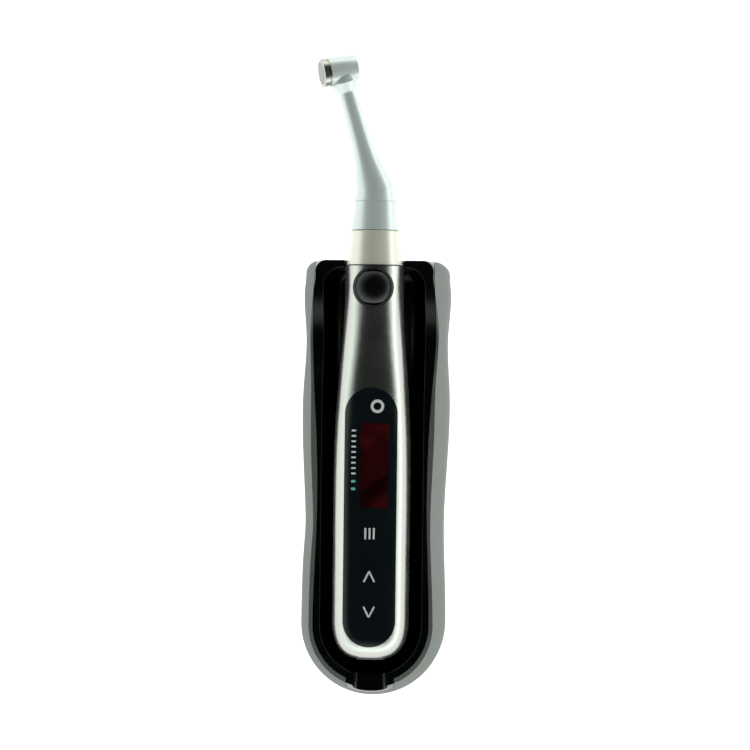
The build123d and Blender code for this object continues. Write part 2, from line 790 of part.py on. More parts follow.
with BuildPart() as neck_form:
    with BuildSketch(neck):
        with BuildLine():
            Line((-elbow_radius, 0), (-elbow_radius, elbow_radius))
            Line((-elbow_radius, elbow_radius), (0, elbow_radius))
            Spline(
                (0, elbow_radius),
                (neck_end * 0.11, elbow_radius * 0.91),
                (neck_end * 0.29, neck_end_radius + (elbow_radius - neck_end_radius) * 0.43),
                (neck_end * 0.62, neck_end_radius + (elbow_radius - neck_end_radius) * 0.13),
                (neck_end, neck_end_radius),
            )
            Line((neck_end, neck_end_radius), (neck_end, 0))
            Line((neck_end, 0), (-elbow_radius, 0))
        make_face()
    revolve(axis=neck_axis)
    split(bisect_by=mitre, keep=Keep.TOP)

with BuildPart() as neck_hollow:
    with BuildSketch(side()):
        with Locations((sleeve_end, 0)):
            Rectangle(elbow_from_collar - sleeve_length, elbow_bore, align=Align.MIN)
    revolve(axis=handle_axis)
    with BuildSketch(neck):
        with BuildLine():
            Polyline(
                (-0.6, 0),
                (-0.6, elbow_bore - 0.4),
                (neck_end * 0.1, elbow_bore - 0.4),
                (neck_end * 0.22, neck_end_radius),
                (neck_end * 0.36, neck_end_radius - neck_wall),
                (neck_end, neck_end_radius - neck_wall),
                (neck_end, 0),
                close=True,
            )
        make_face()
    revolve(axis=neck_axis)

with BuildPart() as neck_body:
    add(elbow_form.part)
    add(neck_form.part)
    add(neck_hollow.part, mode=Mode.SUBTRACT)
neck_body.part.label = "neck_body"
export_step(neck_body.part, "parts/neck_body.step")


def across_neck(along):
    """Plane square to the neck, measured from the elbow. Its local x is along the bend's own plane normal."""
    return Plane(neck.from_local_coords((along, 0, 0)), x_dir=nose.z_dir, z_dir=neck_dir)


neck_bore = neck_end_radius - neck_wall
with BuildPart() as neck_bearings:
    for along in (neck_end * 0.45, neck_length - root_end + 0.4):
        with BuildSketch(across_neck(along)):
            Circle(neck_bore - 0.02)
            Circle(neck_shaft_radius + bore_clearance, mode=Mode.SUBTRACT)
        extrude(amount=1.4)
neck_bearings.part.label = "neck_bearings"
export_step(neck_bearings.part, "parts/neck_bearings.step")


# ------------------------------------------------------------------------ contra-angle: gear train
def spokes(count, phase, near, far, width):
    """Centres and angles of the radial teeth of a face gear, as a sketch in the current plane's frame."""
    with BuildSketch() as teeth:
        for tooth in range(count):
            angle = phase + 360 * tooth / count
            middle = (near + far) / 2
            with Locations((middle * cos(radians(angle)), middle * sin(radians(angle)))):
                Rectangle(far - near, width, rotation=angle)
    return teeth.sketch


elbow_shaft_end = elbow_y - gear_face
drive_plane = Plane(deck.from_local_coords((0, elbow_shaft_end, 0)), x_dir=back, z_dir=deck.y_dir)
with BuildPart() as drive_shaft:
    with BuildSketch(station(clutch_face + dog_gap)):
        Rectangle(2 * dog_radius, dog_tooth)
    extrude(amount=dog_tooth)
    with BuildSketch(station(clutch_face + dog_gap + dog_tooth)):
        Circle(dog_radius)
    extrude(amount=dog_length - dog_tooth)
    with BuildSketch(station(clutch_face + dog_gap + dog_length)):
        Circle(drive_shaft_radius)
    extrude(amount=elbow_shaft_end - clutch_face - dog_gap - dog_length)
    with BuildSketch(drive_plane):
        Circle(elbow_tooth_out)
    extrude(amount=-gear_disc)
    with BuildSketch(drive_plane):
        add(spokes(elbow_teeth, 0, elbow_tooth_in, elbow_tooth_out, elbow_tooth_width))
    extrude(amount=elbow_tooth_height)
drive_shaft.part.label = "drive_shaft"
export_step(drive_shaft.part, "parts/drive_shaft.step")

# Pinion phase: a gap faces the push cap. Crown phase: a tooth faces down the neck.
pinion_plane = Plane(
    head_point - neck_dir * mesh_far, x_dir=(cap_dir - neck_dir * cap_dir.dot(neck_dir)), z_dir=neck_dir
)
elbow_gear_plane = Plane(
    neck.from_local_coords((gear_face, 0, 0)), x_dir=(back - neck_dir * back.dot(neck_dir)), z_dir=neck_dir
)
with BuildPart() as neck_shaft:
    with BuildSketch(elbow_gear_plane):
        add(spokes(elbow_teeth, 180 / elbow_teeth, elbow_tooth_in, elbow_tooth_out, elbow_tooth_width))
    extrude(amount=-elbow_tooth_height)
    with BuildSketch(elbow_gear_plane):
        Circle(elbow_tooth_out)
    extrude(amount=gear_disc)
    with BuildSketch(elbow_gear_plane):
        Circle(neck_shaft_radius)
    extrude(amount=neck_length - mesh_far - gear_face)
    with BuildSketch(pinion_plane):
        Circle(pinion_root)
        add(
            spokes(
                pinion_teeth, 180 / pinion_teeth, pinion_root * 0.8, pinion_tip, pinion_tooth_width
            )
        )
    extrude(amount=mesh_far - mesh_near)
neck_shaft.part.label = "neck_shaft"
export_step(neck_shaft.part, "parts/neck_shaft.step")

# ------------------------------------------------------------------------------ contra-angle: head
tip_over = neck_dir.dot(cap_dir)  # sine of the neck's lean towards the cap
mesh_middle = (mesh_near + mesh_far) / 2
tip_height = pinion_tip * (1 - tip_over**2) ** 0.5 - mesh_middle * tip_over
crown_face = tip_height + mesh_clearance + 0.08
crown_tooth = crown_face - (tip_height - (pinion_tip - pinion_root) + mesh_clearance)
crown_radius = mesh_far + 0.2
upper_bearing_foot = crown_face + gear_disc + 0.1
upper_bearing_top = head_high + ring_height - 0.5
lower_bearing_foot = -head_low + 1.2

with BuildPart() as head_root:
    with BuildSketch(neck):
        with BuildLine():
            Polyline(
                (neck_length, 0),
                (neck_end, 0),
                (neck_end, root_end_radius),
                (neck_length - root_start, root_start_radius),
                (neck_length, root_start_radius - 1),
                close=True,
            )
        make_face()
    revolve(axis=neck_axis)
    split(bisect_by=head.offset(head_high), keep=Keep.BOTTOM)
    split(bisect_by=head.offset(0.9 - head_low), keep=Keep.TOP)

with BuildPart() as head_housing:
    with BuildSketch(head_side):
        with BuildLine():
            Polyline((0, head_high), (0, -head_low), (head_foot_radius - 0.6, -head_low))
            ThreePointArc(
                (head_foot_radius - 0.6, -head_low),
                (head_foot_radius - 0.17, -head_low + 0.18),
                (head_foot_radius, -head_low + 0.6),
            )
            ThreePointArc(
                (head_foot_radius, -head_low + 0.6),
                (head_radius, -head_low * 0.25),
                (head_mouth_radius, head_high),
            )
            Line((head_mouth_radius, head_high), (0, head_high))
        make_face()
    revolve(axis=head_axis)
    add(head_root.part)
    with BuildSketch(head.offset(lower_bearing_foot)):
        Circle(head_bore)
    extrude(amount=2 * head_high + head_low, mode=Mode.SUBTRACT)
    with BuildSketch(head.offset(-head_low - 1)):
        Circle(chuck_mouth_radius)
    extrude(amount=head_low, mode=Mode.SUBTRACT)
    with BuildSketch(across_neck(neck_end - 1)):
        Circle(neck_bore)
    extrude(amount=root_end, mode=Mode.SUBTRACT)
head_housing.part.label = "head_housing"
export_step(head_housing.part, "parts/head_housing.step")

with BuildPart() as head_ring:
    with BuildSketch(head.offset(head_high)):
        Circle(head_mouth_radius - 0.12)
        Circle(head_bore + 0.05, mode=Mode.SUBTRACT)
    extrude(amount=ring_height)
head_ring.part.label = "head_ring"
export_step(head_ring.part, "parts/head_ring.step")

cap_ring_foot = head_high + ring_height
cap_ring_top = cap_ring_foot + cap_ring_height
with BuildPart() as cap_ring:
    with BuildSketch(head.offset(cap_ring_foot)):
        Circle(head_mouth_radius)
        Circle(cap_flange + 0.1, mode=Mode.SUBTRACT)
    extrude(amount=cap_ring_height)
    with BuildSketch(head.offset(cap_ring_top - cap_lip_height)):
        Circle(cap_flange + 0.2)
        Circle(cap_lip, mode=Mode.SUBTRACT)
    extrude(amount=cap_lip_height)
    fillet(cap_ring.edges().group_by(head_axis)[-1].sort_by(SortBy.RADIUS)[-1], 0.5)
cap_ring.part.label = "cap_ring"
export_step(cap_ring.part, "parts/cap_ring.step")

flange_foot = cap_ring_top - cap_lip_height - 0.3 - cap_flange_height
with BuildPart() as push_cap:
    with BuildSketch(head.offset(flange_foot)):
        Circle(cap_flange)
    extrude(amount=cap_flange_height)
    with BuildSketch(head.offset(flange_foot + cap_flange_height)):
        Circle(cap_radius)
    extrude(amount=cap_height)
    fillet(push_cap.edges().group_by(head_axis)[-1], 0.3)
push_cap.part.label = "push_cap"
export_step(push_cap.part, "parts/push_cap.step")

spring_room = flange_foot - cap_travel - upper_bearing_top
with BuildPart() as cap_spring:
    with BuildSketch(head_side):
        with BuildLine():
            Polyline(
                (head_bore - 0.15, upper_bearing_top + 0.02),
                (head_bore - 0.15, upper_bearing_top + 0.17),
                (head_bore - 0.9, upper_bearing_top + spring_room - 0.05),
                (head_bore - 0.9, upper_bearing_top + spring_room - 0.2),
                close=True,
            )
        make_face()
    revolve(axis=head_axis)
cap_spring.part.label = "cap_spring"
export_step(cap_spring.part, "parts/cap_spring.step")

with BuildPart() as head_bearings:
    with BuildSketch(head.offset(upper_bearing_foot)):
        Circle(head_bore - 0.02)
        Circle(spindle_radius + bore_clearance, mode=Mode.SUBTRACT)
    extrude(amount=upper_bearing_top - upper_bearing_foot)
    with BuildSketch(head.offset(lower_bearing_foot)):
        Circle(head_bore - 0.02)
        Circle(spindle_radius + bore_clearance, mode=Mode.SUBTRACT)
    extrude(amount=1.5)
head_bearings.part.label = "head_bearings"
export_step(head_bearings.part, "parts/head_bearings.step")

spindle_top = upper_bearing_top + 0.1
shank_depth = head_low + spindle_top - 0.8
crown_plane = Plane(
    head.from_local_coords((0, 0, crown_face)), x_dir=(cap_dir * tip_over - neck_dir), z_dir=cap_dir
)
with BuildPart() as chuck_spindle:
    with BuildSketch(head.offset(-head_low + 0.1)):
        Circle(spindle_radius)
    extrude(amount=head_low - 0.1 + spindle_top)
    with BuildSketch(crown_plane):
        Circle(crown_radius)
    extrude(amount=gear_disc)
    with BuildSketch(crown_plane):
        add(spokes(crown_teeth, 0, mesh_near, crown_radius, pinion_tooth_width))
    extrude(amount=-crown_tooth)
    with BuildSketch(head.offset(-head_low)):
        Circle(shank_radius)
    extrude(amount=shank_depth, mode=Mode.SUBTRACT)
chuck_spindle.part.label = "chuck_spindle"
export_step(chuck_spindle.part, "parts/chuck_spindle.step")

with BuildPart() as latch_plate:
    with BuildSketch(head.offset(spindle_top)):
        SlotOverall(2.8, 1.8)
        with Locations((0.9, 0)):
            Circle(0.35, mode=Mode.SUBTRACT)
    extrude(amount=0.25)
latch_plate.part.label = "latch_plate"
export_step(latch_plate.part, "parts/latch_plate.step")

# ------------------------------------------------------------------------ construction forms: base
rim_clear = 12.0  # height of the cutter over the rim
deep = axis_height * 4  # any depth that passes the table
tray_floor = -grip_belly - tray_floor_drop
tray_bottom = tray_floor - tray_floor_wall
waist_y = base_head_end - waist_from_head
upward = Axis(deck.origin, deck.z_dir)
lengthwise = Axis(deck.origin, deck.y_dir)

with BuildPart() as rim_cutter:
    with BuildSketch(side(-2 * base_half_width)):
        with BuildLine():
            Spline(
                (base_low_end - 3, rim_low),
                (base_low_end + 18, rim_low + 0.5),
                (waist_y - 32, rim_mid),
                (waist_y - 16, rim_mid - 0.9),
                (waist_y, rim_mid - rim_dip),
                (waist_y + 12, rim_ear - 1.0),
                (base_head_end - 5, rim_ear),
                (base_head_end + 1, rim_ear - 2.0),
                tangents=[(1, 0), (1, -0.9)],
            )
            Polyline(
                (base_head_end + 1, rim_ear - 2.0),
                (base_head_end + 1, rim_clear),
                (base_low_end - 3, rim_clear),
                (base_low_end - 3, rim_low),
            )
        make_face()
    extrude(amount=4 * base_half_width)

with BuildPart() as flank_form:
    loft(
        [
            base_plan(height, flank_half_width(height), -waist_depth)
            for height in (flank_start, -9.0, -4.0, 0.0, flank_start + flank_height + 1)
        ]
    )
    extrude(base_plan(flank_start, base_half_width, -waist_depth), amount=-deep)
    split(bisect_by=Plane.XY.offset(shell_float), keep=Keep.TOP)


def notch_block(width, foot, corner):
    """Block along the middle of the low end, from a level up past the rim, its lower corners rounded."""
    with BuildPart() as block:
        with BuildSketch(level(foot)):
            with Locations((0, base_low_end - 2)):
                Rectangle(width, base_half_width, align=(Align.CENTER, Align.MIN))
        extrude(amount=rim_clear - foot)
        fillet(block.edges().filter_by(lengthwise).group_by(upward)[0], corner)
    return block.part


def tray_outer(gap):
    """Outside of the tray, grown by a gap: body, notch lining and the apron that shows at the head end."""
    with BuildPart() as outer:
        extrude(
            base_plan(tray_bottom - gap, tray_half_width + gap, tray_waist_growth, end_inset=-2, corner=0.6),
            amount=rim_clear - tray_bottom + gap,
        )
        with BuildSketch(level(-apron_drop - gap)):
            with Locations((0, base_head_end - base_wall - seam + gap)):
                Rectangle(3 * base_half_width, 3 * base_wall, align=(Align.CENTER, Align.MIN))
        extrude(amount=-deep, mode=Mode.SUBTRACT)
        lining_width = notch_width + 2 * (notch_lining + gap)
        add(notch_block(lining_width, -notch_depth - notch_lining - gap, notch_round + 0.5))
    return outer.part


cavity_half = tray_half_width - tray_wall
cavity_low_centre = base_low_end + base_half_width
cavity_end = base_head_end - tray_end_wall
with BuildPart() as cavity_form:
    with BuildSketch(level(tray_floor)):
        with Locations((0, cavity_end)):
            Rectangle(2 * cavity_half, cavity_end - cavity_low_centre, align=(Align.CENTER, Align.MAX))
        with Locations((0, cavity_low_centre)):
            Circle(cavity_half)
    extrude(amount=rim_clear - tray_floor)
    fillet(cavity_form.edges().filter_by(upward).group_by(lengthwise)[-1], tray_corner)
    fillet(cavity_form.faces().sort_by(upward)[0].edges(), tray_floor_round)

# Notch in the low end, and the saddle for the handpiece's neck at the head end
with BuildPart() as opening_form:
    add(notch_block(notch_width, -notch_depth, notch_round))
    with BuildSketch(station(cavity_end - tray_corner)):
        Circle(neck_radius + lift_clearance)
        with Locations((0, 0)):
            Rectangle(2 * (neck_radius + lift_clearance), rim_clear, align=(Align.CENTER, Align.MIN))
    extrude(amount=tray_corner + tray_end_wall + 2)

# Room for the bottom plate, up to its top face
plate_top = pad_thickness + plate_thickness
with BuildPart() as plate_recess:
    extrude(
        base_plan(
            tray_bottom,
            base_half_width - base_wall + plate_lap + seam,
            -waist_depth,
            end_inset=base_wall - plate_lap - seam,
            corner=plate_corner,
        ),
        amount=-deep,
    )
    split(bisect_by=Plane.XY.offset(plate_top), keep=Keep.BOTTOM)

# ------------------------------------------------------------------------------------- base: shell
usb_middle = -charge_board_drop + usb_height / 2
with BuildPart() as base_shell:
    add(flank_form.part)
    add(tray_outer(seam), mode=Mode.SUBTRACT)
    extrude(
        base_plan(-shell_solid, base_half_width - base_wall, -waist_depth, end_inset=base_wall, corner=1.5),
        amount=-deep,
        mode=Mode.SUBTRACT,
    )
    add(rim_cutter.part, mode=Mode.SUBTRACT)
    add(opening_form.part, mode=Mode.SUBTRACT)
    with BuildSketch(station(base_head_end - base_wall - 1)):
        with Locations((0, usb_middle)):
            RectangleRounded(usb_width + 0.6, usb_height + 0.6, usb_height / 2)
    extrude(amount=base_wall + 2, mode=Mode.SUBTRACT)
    add(plate_recess.part, mode=Mode.SUBTRACT)
base_shell.part.label = "base_shell"
export_step(base_shell.part, "parts/base_shell.step")

# -------------------------------------------------------------------------------------- base: tray
posts = [(x, y) for y in (post_low_y, post_head_y) for x in (post_x, -post_x)]
board_posts = [(board_post_x, board_post_y), (-board_post_x, board_post_y)]
post_feet = [deck.from_local_coords((x, y, tray_bottom)) for x, y in posts]
pins = [(pin_spacing / 2, pin_from_tail), (-pin_spacing / 2, pin_from_tail)]
with BuildPart() as tray:
    add(tray_outer(0))
    add(flank_form.part, mode=Mode.INTERSECT)
    add(rim_cutter.part, mode=Mode.SUBTRACT)
    add(cavity_form.part, mode=Mode.SUBTRACT)
    add(opening_form.part, mode=Mode.SUBTRACT)
    rim_faces = tray.faces().filter_by(lambda face: face.normal_at().dot(deck.z_dir) > 0.6)
    fillet(rim_faces.sort_by(upward)[-2:].edges().sort_by(SortBy.LENGTH)[-2:], rim_round)
    for foot in post_feet:
        with BuildSketch(Plane.XY.offset(plate_top)):
            with Locations((foot.X, foot.Y)):
                Circle(post_radius)
        extrude(amount=foot.Z + tray_floor_wall / 2 - plate_top)
        with BuildSketch(Plane.XY.offset(plate_top)):
            with Locations((foot.X, foot.Y)):
                Circle(plate_screw_radius)
        extrude(amount=plate_screw_reach + 0.4, mode=Mode.SUBTRACT)
    with BuildSketch(level(-charge_board_drop)):
        with Locations(*board_posts):
            Circle(post_radius)
    extrude(amount=charge_board_drop + tray_bottom + tray_floor_wall / 2)
    with BuildSketch(level(-charge_board_drop)):
        with Locations(*board_posts):
            Circle(plate_screw_radius)
    extrude(amount=plate_screw_reach + 0.4, mode=Mode.SUBTRACT)
    with BuildSketch(level(tray_bottom - 1)):
        with Locations(*pins):
            Circle(pin_radius + bore_clearance)
    extrude(amount=tray_floor_wall + 2, mode=Mode.SUBTRACT)
tray.part.label = "tray"
export_step(tray.part, "parts/tray.step")

with BuildPart() as rest_pads:
    with BuildSketch(level(tray_floor)):
        with Locations((0, cell_from_tail + 18), (0, cell_from_tail + 48)):
            RectangleRounded(rest_width, rest_length, 1)
    extrude(amount=tray_floor_drop - lift_clearance)
rest_pads.part.label = "rest_pads"
export_step(rest_pads.part, "parts/rest_pads.step")

# ------------------------------------------------------------------------------------ base: bottom
with BuildPart() as bottom_plate:
    extrude(
        base_plan(
            tray_bottom,
            base_half_width - base_wall + plate_lap,
            -waist_depth,
            end_inset=base_wall - plate_lap,
            corner=plate_corner,
        ),
        amount=-deep,
    )
    split(bisect_by=Plane.XY.offset(plate_top), keep=Keep.BOTTOM)
    split(bisect_by=Plane.XY.offset(pad_thickness), keep=Keep.TOP)
    with BuildSketch(Plane.XY):
        with Locations(*[(foot.X, foot.Y) for foot in post_feet]):
            Circle(plate_screw_radius + bore_clearance)
    extrude(amount=plate_top + 1, mode=Mode.SUBTRACT)
    with BuildSketch(Plane.XY):
        with Locations(*[(foot.X, foot.Y) for foot in post_feet]):
            Circle(plate_screw_head + seam)
    extrude(amount=pad_thickness + plate_screw_head_height, mode=Mode.SUBTRACT)
bottom_plate.part.label = "bottom_plate"
export_step(bottom_plate.part, "parts/bottom_plate.step")

with BuildPart() as plate_screws:
    with BuildSketch(Plane.XY.offset(pad_thickness + plate_screw_head_height)):
        with Locations(*[(foot.X, foot.Y) for foot in post_feet]):
            Circle(plate_screw_radius)
    extrude(amount=plate_thickness - plate_screw_head_height + plate_screw_reach)
    with BuildSketch(Plane.XY.offset(pad_thickness)):
        with Locations(*[(foot.X, foot.Y) for foot in post_feet]):
            Circle(plate_screw_head)
    extrude(amount=plate_screw_head_height)
    with BuildSketch(Plane.XY.offset(pad_thickness)):
        with Locations(*[(foot.X, foot.Y) for foot in post_feet]):
            Rectangle(cross_width, cross_span)
            Rectangle(cross_span, cross_width)
    extrude(amount=cross_depth, mode=Mode.SUBTRACT)
plate_screws.part.label = "plate_screws"
export_step(plate_screws.part, "parts/plate_screws.step")

with BuildPart() as grip_pad:
    extrude(
        base_plan(
            tray_bottom, base_half_width - pad_inset, -waist_depth, end_inset=pad_inset, corner=plate_corner
        ),
        amount=-deep,
    )
    split(bisect_by=Plane.XY.offset(pad_thickness), keep=Keep.BOTTOM)
    split(bisect_by=Plane.XY, keep=Keep.TOP)
grip_pad.part.label = "grip_pad"
export_step(grip_pad.part, "parts/grip_pad.step")

# ---------------------------------------------------------------------------------- base: charging
pin_tip = -grip_belly - pin_gap
flange_top = tray_bottom - pin_flange_gap
block_top = tray_bottom - 0.02
block_foot = block_top - block_height
flange_room = block_top - flange_top + pin_flange_thickness + pin_travel + pin_flange_gap
with BuildPart() as contact_block:
    with BuildSketch(level(block_foot)):
        with Locations((0, pin_from_tail)):
            RectangleRounded(pin_spacing + 2 * block_margin, block_width, 1)
    extrude(amount=tray_bottom - block_foot)
    with BuildSketch(level(tray_bottom - flange_room)):
        with Locations(*pins):
            Circle(pin_flange + pin_flange_gap)
    extrude(amount=flange_room, mode=Mode.SUBTRACT)
contact_block.part.label = "contact_block"
export_step(contact_block.part, "parts/contact_block.step")


def charge_pin(x):
    """Round-tipped spring contact with its retaining flange."""
    with BuildPart() as pin:
        with BuildSketch(level(flange_top - pin_flange_thickness)):
            with Locations((x, pin_from_tail)):
                Circle(pin_radius)
        extrude(amount=pin_tip - flange_top + pin_flange_thickness)
        fillet(pin.edges().group_by(upward)[-1], pin_tip_round)
        with BuildSketch(level(flange_top - pin_flange_thickness)):
            with Locations((x, pin_from_tail)):
                Circle(pin_flange)
        extrude(amount=pin_flange_thickness)
    return pin


charge_pin_right = charge_pin(pin_spacing / 2)
charge_pin_right.part.label = "charge_pin_right"
export_step(charge_pin_right.part, "parts/charge_pin_right.step")

charge_pin_left = charge_pin(-pin_spacing / 2)
charge_pin_left.part.label = "charge_pin_left"
export_step(charge_pin_left.part, "parts/charge_pin_left.step")

with BuildPart() as charge_board:
    with BuildSketch(level(-charge_board_drop)):
        with Locations((0, base_head_end - base_wall - charge_board_length / 2)):
            Rectangle(charge_board_width, charge_board_length)
        with Locations(*board_posts):
            Circle(plate_screw_radius + bore_clearance, mode=Mode.SUBTRACT)
    extrude(amount=-board_thickness)
    with BuildSketch(level(-charge_board_drop)):
        with Locations((0, board_post_y + 1)):
            Rectangle(4, 5)
        with Locations((6, board_post_y + 7), (-6, board_post_y + 7)):
            Rectangle(3, 3)
    extrude(amount=1.2)
charge_board.part.label = "charge_board"
export_step(charge_board.part, "parts/charge_board.step")

with BuildPart() as board_screws:
    with BuildSketch(level(-charge_board_drop - board_thickness)):
        with Locations(*board_posts):
            Circle(plate_screw_radius)
    extrude(amount=board_thickness + plate_screw_reach)
    with BuildSketch(level(-charge_board_drop - board_thickness)):
        with Locations(*board_posts):
            Circle(plate_screw_head)
    extrude(amount=-plate_screw_head_height)
board_screws.part.label = "board_screws"
export_step(board_screws.part, "parts/board_screws.step")

usb_mouth = base_head_end - usb_recess
with BuildPart() as usb_socket:
    with BuildSketch(station(usb_mouth)):
        with Locations((0, usb_middle)):
            RectangleRounded(usb_width, usb_height, usb_height / 2 - 0.1)
            RectangleRounded(
                usb_width - 2 * usb_skin,
                usb_height - 2 * usb_skin,
                usb_height / 2 - usb_skin - 0.1,
                mode=Mode.SUBTRACT,
            )
    extrude(amount=-usb_length)
    with BuildSketch(station(usb_mouth - usb_length)):
        with Locations((0, usb_middle)):
            RectangleRounded(usb_width, usb_height, usb_height / 2 - 0.1)
    extrude(amount=usb_back)
    with BuildSketch(station(usb_mouth - usb_length + usb_back)):
        with Locations((0, usb_middle)):
            Rectangle(usb_width - 8 * usb_skin, usb_tongue)
    extrude(amount=usb_length - 2.5 * usb_back)
usb_socket.part.label = "usb_socket"
export_step(usb_socket.part, "parts/usb_socket.step")

lead_start = pin_from_tail + 3.5
lead_end = base_head_end - base_wall - charge_board_length
with BuildPart() as charge_lead:
    with BuildSketch(side()):
        Polygon(
            (lead_start, tray_bottom),
            (lead_end - 3, tray_bottom),
            (lead_end + 3, -charge_board_drop + lead_thickness),
            (lead_end + 5, -charge_board_drop + lead_thickness),
            (lead_end + 5, -charge_board_drop),
            (lead_end + 2.6, -charge_board_drop),
            (lead_end - 3.4, tray_bottom - lead_thickness),
            (lead_start, tray_bottom - lead_thickness),
            align=None,
        )
    extrude(amount=lead_width / 2, both=True)
charge_lead.part.label = "charge_lead"
export_step(charge_lead.part, "parts/charge_lead.step")
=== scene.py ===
# %% [markdown]
# # A cordless endodontic motor in its charging base
#
# The solid model arrives as a fixed frame. Every node already has its true size and place, so this
# lesson is about what a finisher adds: lacquer, gloss, polish, printed marks and studio light. We
# load the frame first.

# %% Load the frame
import json
from math import cos, degrees, pi, radians, sin

import bmesh
import bpy
from mathutils import Matrix, Vector
from mathutils.bvhtree import BVHTree


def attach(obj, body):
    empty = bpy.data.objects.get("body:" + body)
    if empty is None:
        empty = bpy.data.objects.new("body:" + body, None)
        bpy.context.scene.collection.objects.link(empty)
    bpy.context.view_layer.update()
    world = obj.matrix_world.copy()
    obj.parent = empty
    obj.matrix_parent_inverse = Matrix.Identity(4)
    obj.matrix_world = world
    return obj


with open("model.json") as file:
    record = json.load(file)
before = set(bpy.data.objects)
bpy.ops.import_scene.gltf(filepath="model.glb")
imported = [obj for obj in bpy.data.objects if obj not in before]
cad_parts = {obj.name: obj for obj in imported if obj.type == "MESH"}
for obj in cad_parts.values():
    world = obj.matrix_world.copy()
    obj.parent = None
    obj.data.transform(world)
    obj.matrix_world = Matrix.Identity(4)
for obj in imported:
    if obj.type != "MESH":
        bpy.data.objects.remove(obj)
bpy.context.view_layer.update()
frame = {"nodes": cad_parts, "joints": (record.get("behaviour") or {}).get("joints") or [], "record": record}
nodes = frame["nodes"]
joints = {joint["name"]: joint for joint in frame["joints"]}

# %% [markdown]
# ## A ruler on the sloping deck
#
# The handpiece lies on a deck that slopes up towards the nose. Placing marks on it is easiest in the
# deck's own coordinates: x across, y from the flat tail towards the nose, z out of the deck. The
# joints already hold the deck's directions. The swivel's axis runs along the handpiece, and the
# lift's axis stands square to it.

# %% Deck directions and the tail's place
MM = 0.001
along = Vector(joints["contra_swivel"]["axis"]).normalized()
upward = Vector(joints["handpiece_lift"]["axis"]).normalized()
across = along.cross(upward).normalized()
swivel_point = Vector(joints["contra_swivel"]["pos_m"])


def reach(node, direction):
    """Lowest and highest place of a CAD node along a direction, measured from the swivel's point."""
    distances = [(vertex.co - swivel_point).dot(direction) for vertex in nodes[node].data.vertices]
    return min(distances), max(distances)


tail_point = swivel_point + along * reach("lower_shell", along)[0]


def on_deck(x, y, z):
    """Point of the row's frame for deck coordinates in millimetres."""
    return tail_point + (across * x + along * y + upward * z) * MM


handle_length = (reach("lower_shell", along)[1] - reach("lower_shell", along)[0]) / MM
print("handle length", round(handle_length, 2), "mm, deck slope", round(degrees(along.angle((0, 1, 0))), 2))

# %% [markdown]
# ## Shader groups that several finishes share
#
# Four effects come back on many pieces, so each is a node group, built once. *Fine texture* is the
# faint moulded or blasted grain of a real surface: it varies roughness and gives a height for a bump.
# *Metal flake* mixes a slightly lighter tone into a lacquer, in tiny spots. *Turned lines* are the
# hair-fine rings that a lathe leaves, so they only change along one axis. *Handling marks* are the
# soft smudges that make gloss look touched.

# %% Helper: an empty group with named sockets


def new_group(name, inputs, outputs):
    """Shader group with float inputs given as name: default, and outputs given as name: socket type."""
    group = bpy.data.node_groups.new(name, "ShaderNodeTree")
    for label, default in inputs.items():
        socket = group.interface.new_socket(label, in_out="INPUT", socket_type="NodeSocketFloat")
        socket.default_value = default
    for label, kind in outputs.items():
        group.interface.new_socket(label, in_out="OUTPUT", socket_type=kind)
    start = group.nodes.new("NodeGroupInput")
    end = group.nodes.new("NodeGroupOutput")
    return group, start, end


def add_node(tree, kind, settings=None, links=None, **values):
    """New node in a tree. settings are its properties, values its inputs by name, links their sources."""
    node = tree.nodes.new(kind)
    for key, value in (settings or {}).items():
        setattr(node, key, value)
    for key, value in values.items():
        node.inputs[key.replace("_", " ")].default_value = value
    for key, source in (links or {}).items():
        tree.links.new(source, node.inputs[key])
    return node


def combine(tree, operation, first, second):
    """Math node on two sources, each a socket or a number."""
    node = add_node(tree, "ShaderNodeMath", {"operation": operation})
    for slot, source in zip(node.inputs, (first, second)):
        if isinstance(source, (int, float)):
            slot.default_value = source
        else:
            tree.links.new(source, slot)
    return node.outputs[0]


# %% Fine texture: moulded or blasted grain
fine_texture, start, end = new_group(
    "fine texture",
    {"Grain Size": 0.12, "Roughness": 0.4, "Spread": 0.1},
    {"Roughness": "NodeSocketFloat", "Height": "NodeSocketFloat"},
)
place = add_node(fine_texture, "ShaderNodeTexCoord").outputs["Object"]
per_metre = combine(fine_texture, "DIVIDE", 1 / MM, start.outputs["Grain Size"])
grain = add_node(
    fine_texture, "ShaderNodeTexNoise", links={"Vector": place, "Scale": per_metre}, Detail=3.0, Roughness=0.6
)
blotch = add_node(fine_texture, "ShaderNodeTexNoise", links={"Vector": place}, Scale=90.0, Detail=2.0)
both = combine(fine_texture, "ADD", grain.outputs["Fac"], blotch.outputs["Fac"])
centred = combine(fine_texture, "SUBTRACT", both, 1.0)
swing = combine(fine_texture, "MULTIPLY", centred, start.outputs["Spread"])
rough = combine(fine_texture, "ADD", swing, start.outputs["Roughness"])
fine_texture.links.new(rough, end.inputs["Roughness"])
fine_texture.links.new(grain.outputs["Fac"], end.inputs["Height"])

# %% Metal flake: spots of a lighter tone in a lacquer
metal_flake, start, end = new_group(
    "metal flake",
    {"Flake Size": 0.25, "Amount": 0.3},
    {"Mask": "NodeSocketFloat"},
)
place = add_node(metal_flake, "ShaderNodeTexCoord").outputs["Object"]
per_metre = combine(metal_flake, "DIVIDE", 1 / MM, start.outputs["Flake Size"])
cells = add_node(metal_flake, "ShaderNodeTexVoronoi", links={"Vector": place, "Scale": per_metre})
spot = combine(metal_flake, "MULTIPLY", cells.outputs["Color"], start.outputs["Amount"])
metal_flake.links.new(spot, end.inputs["Mask"])

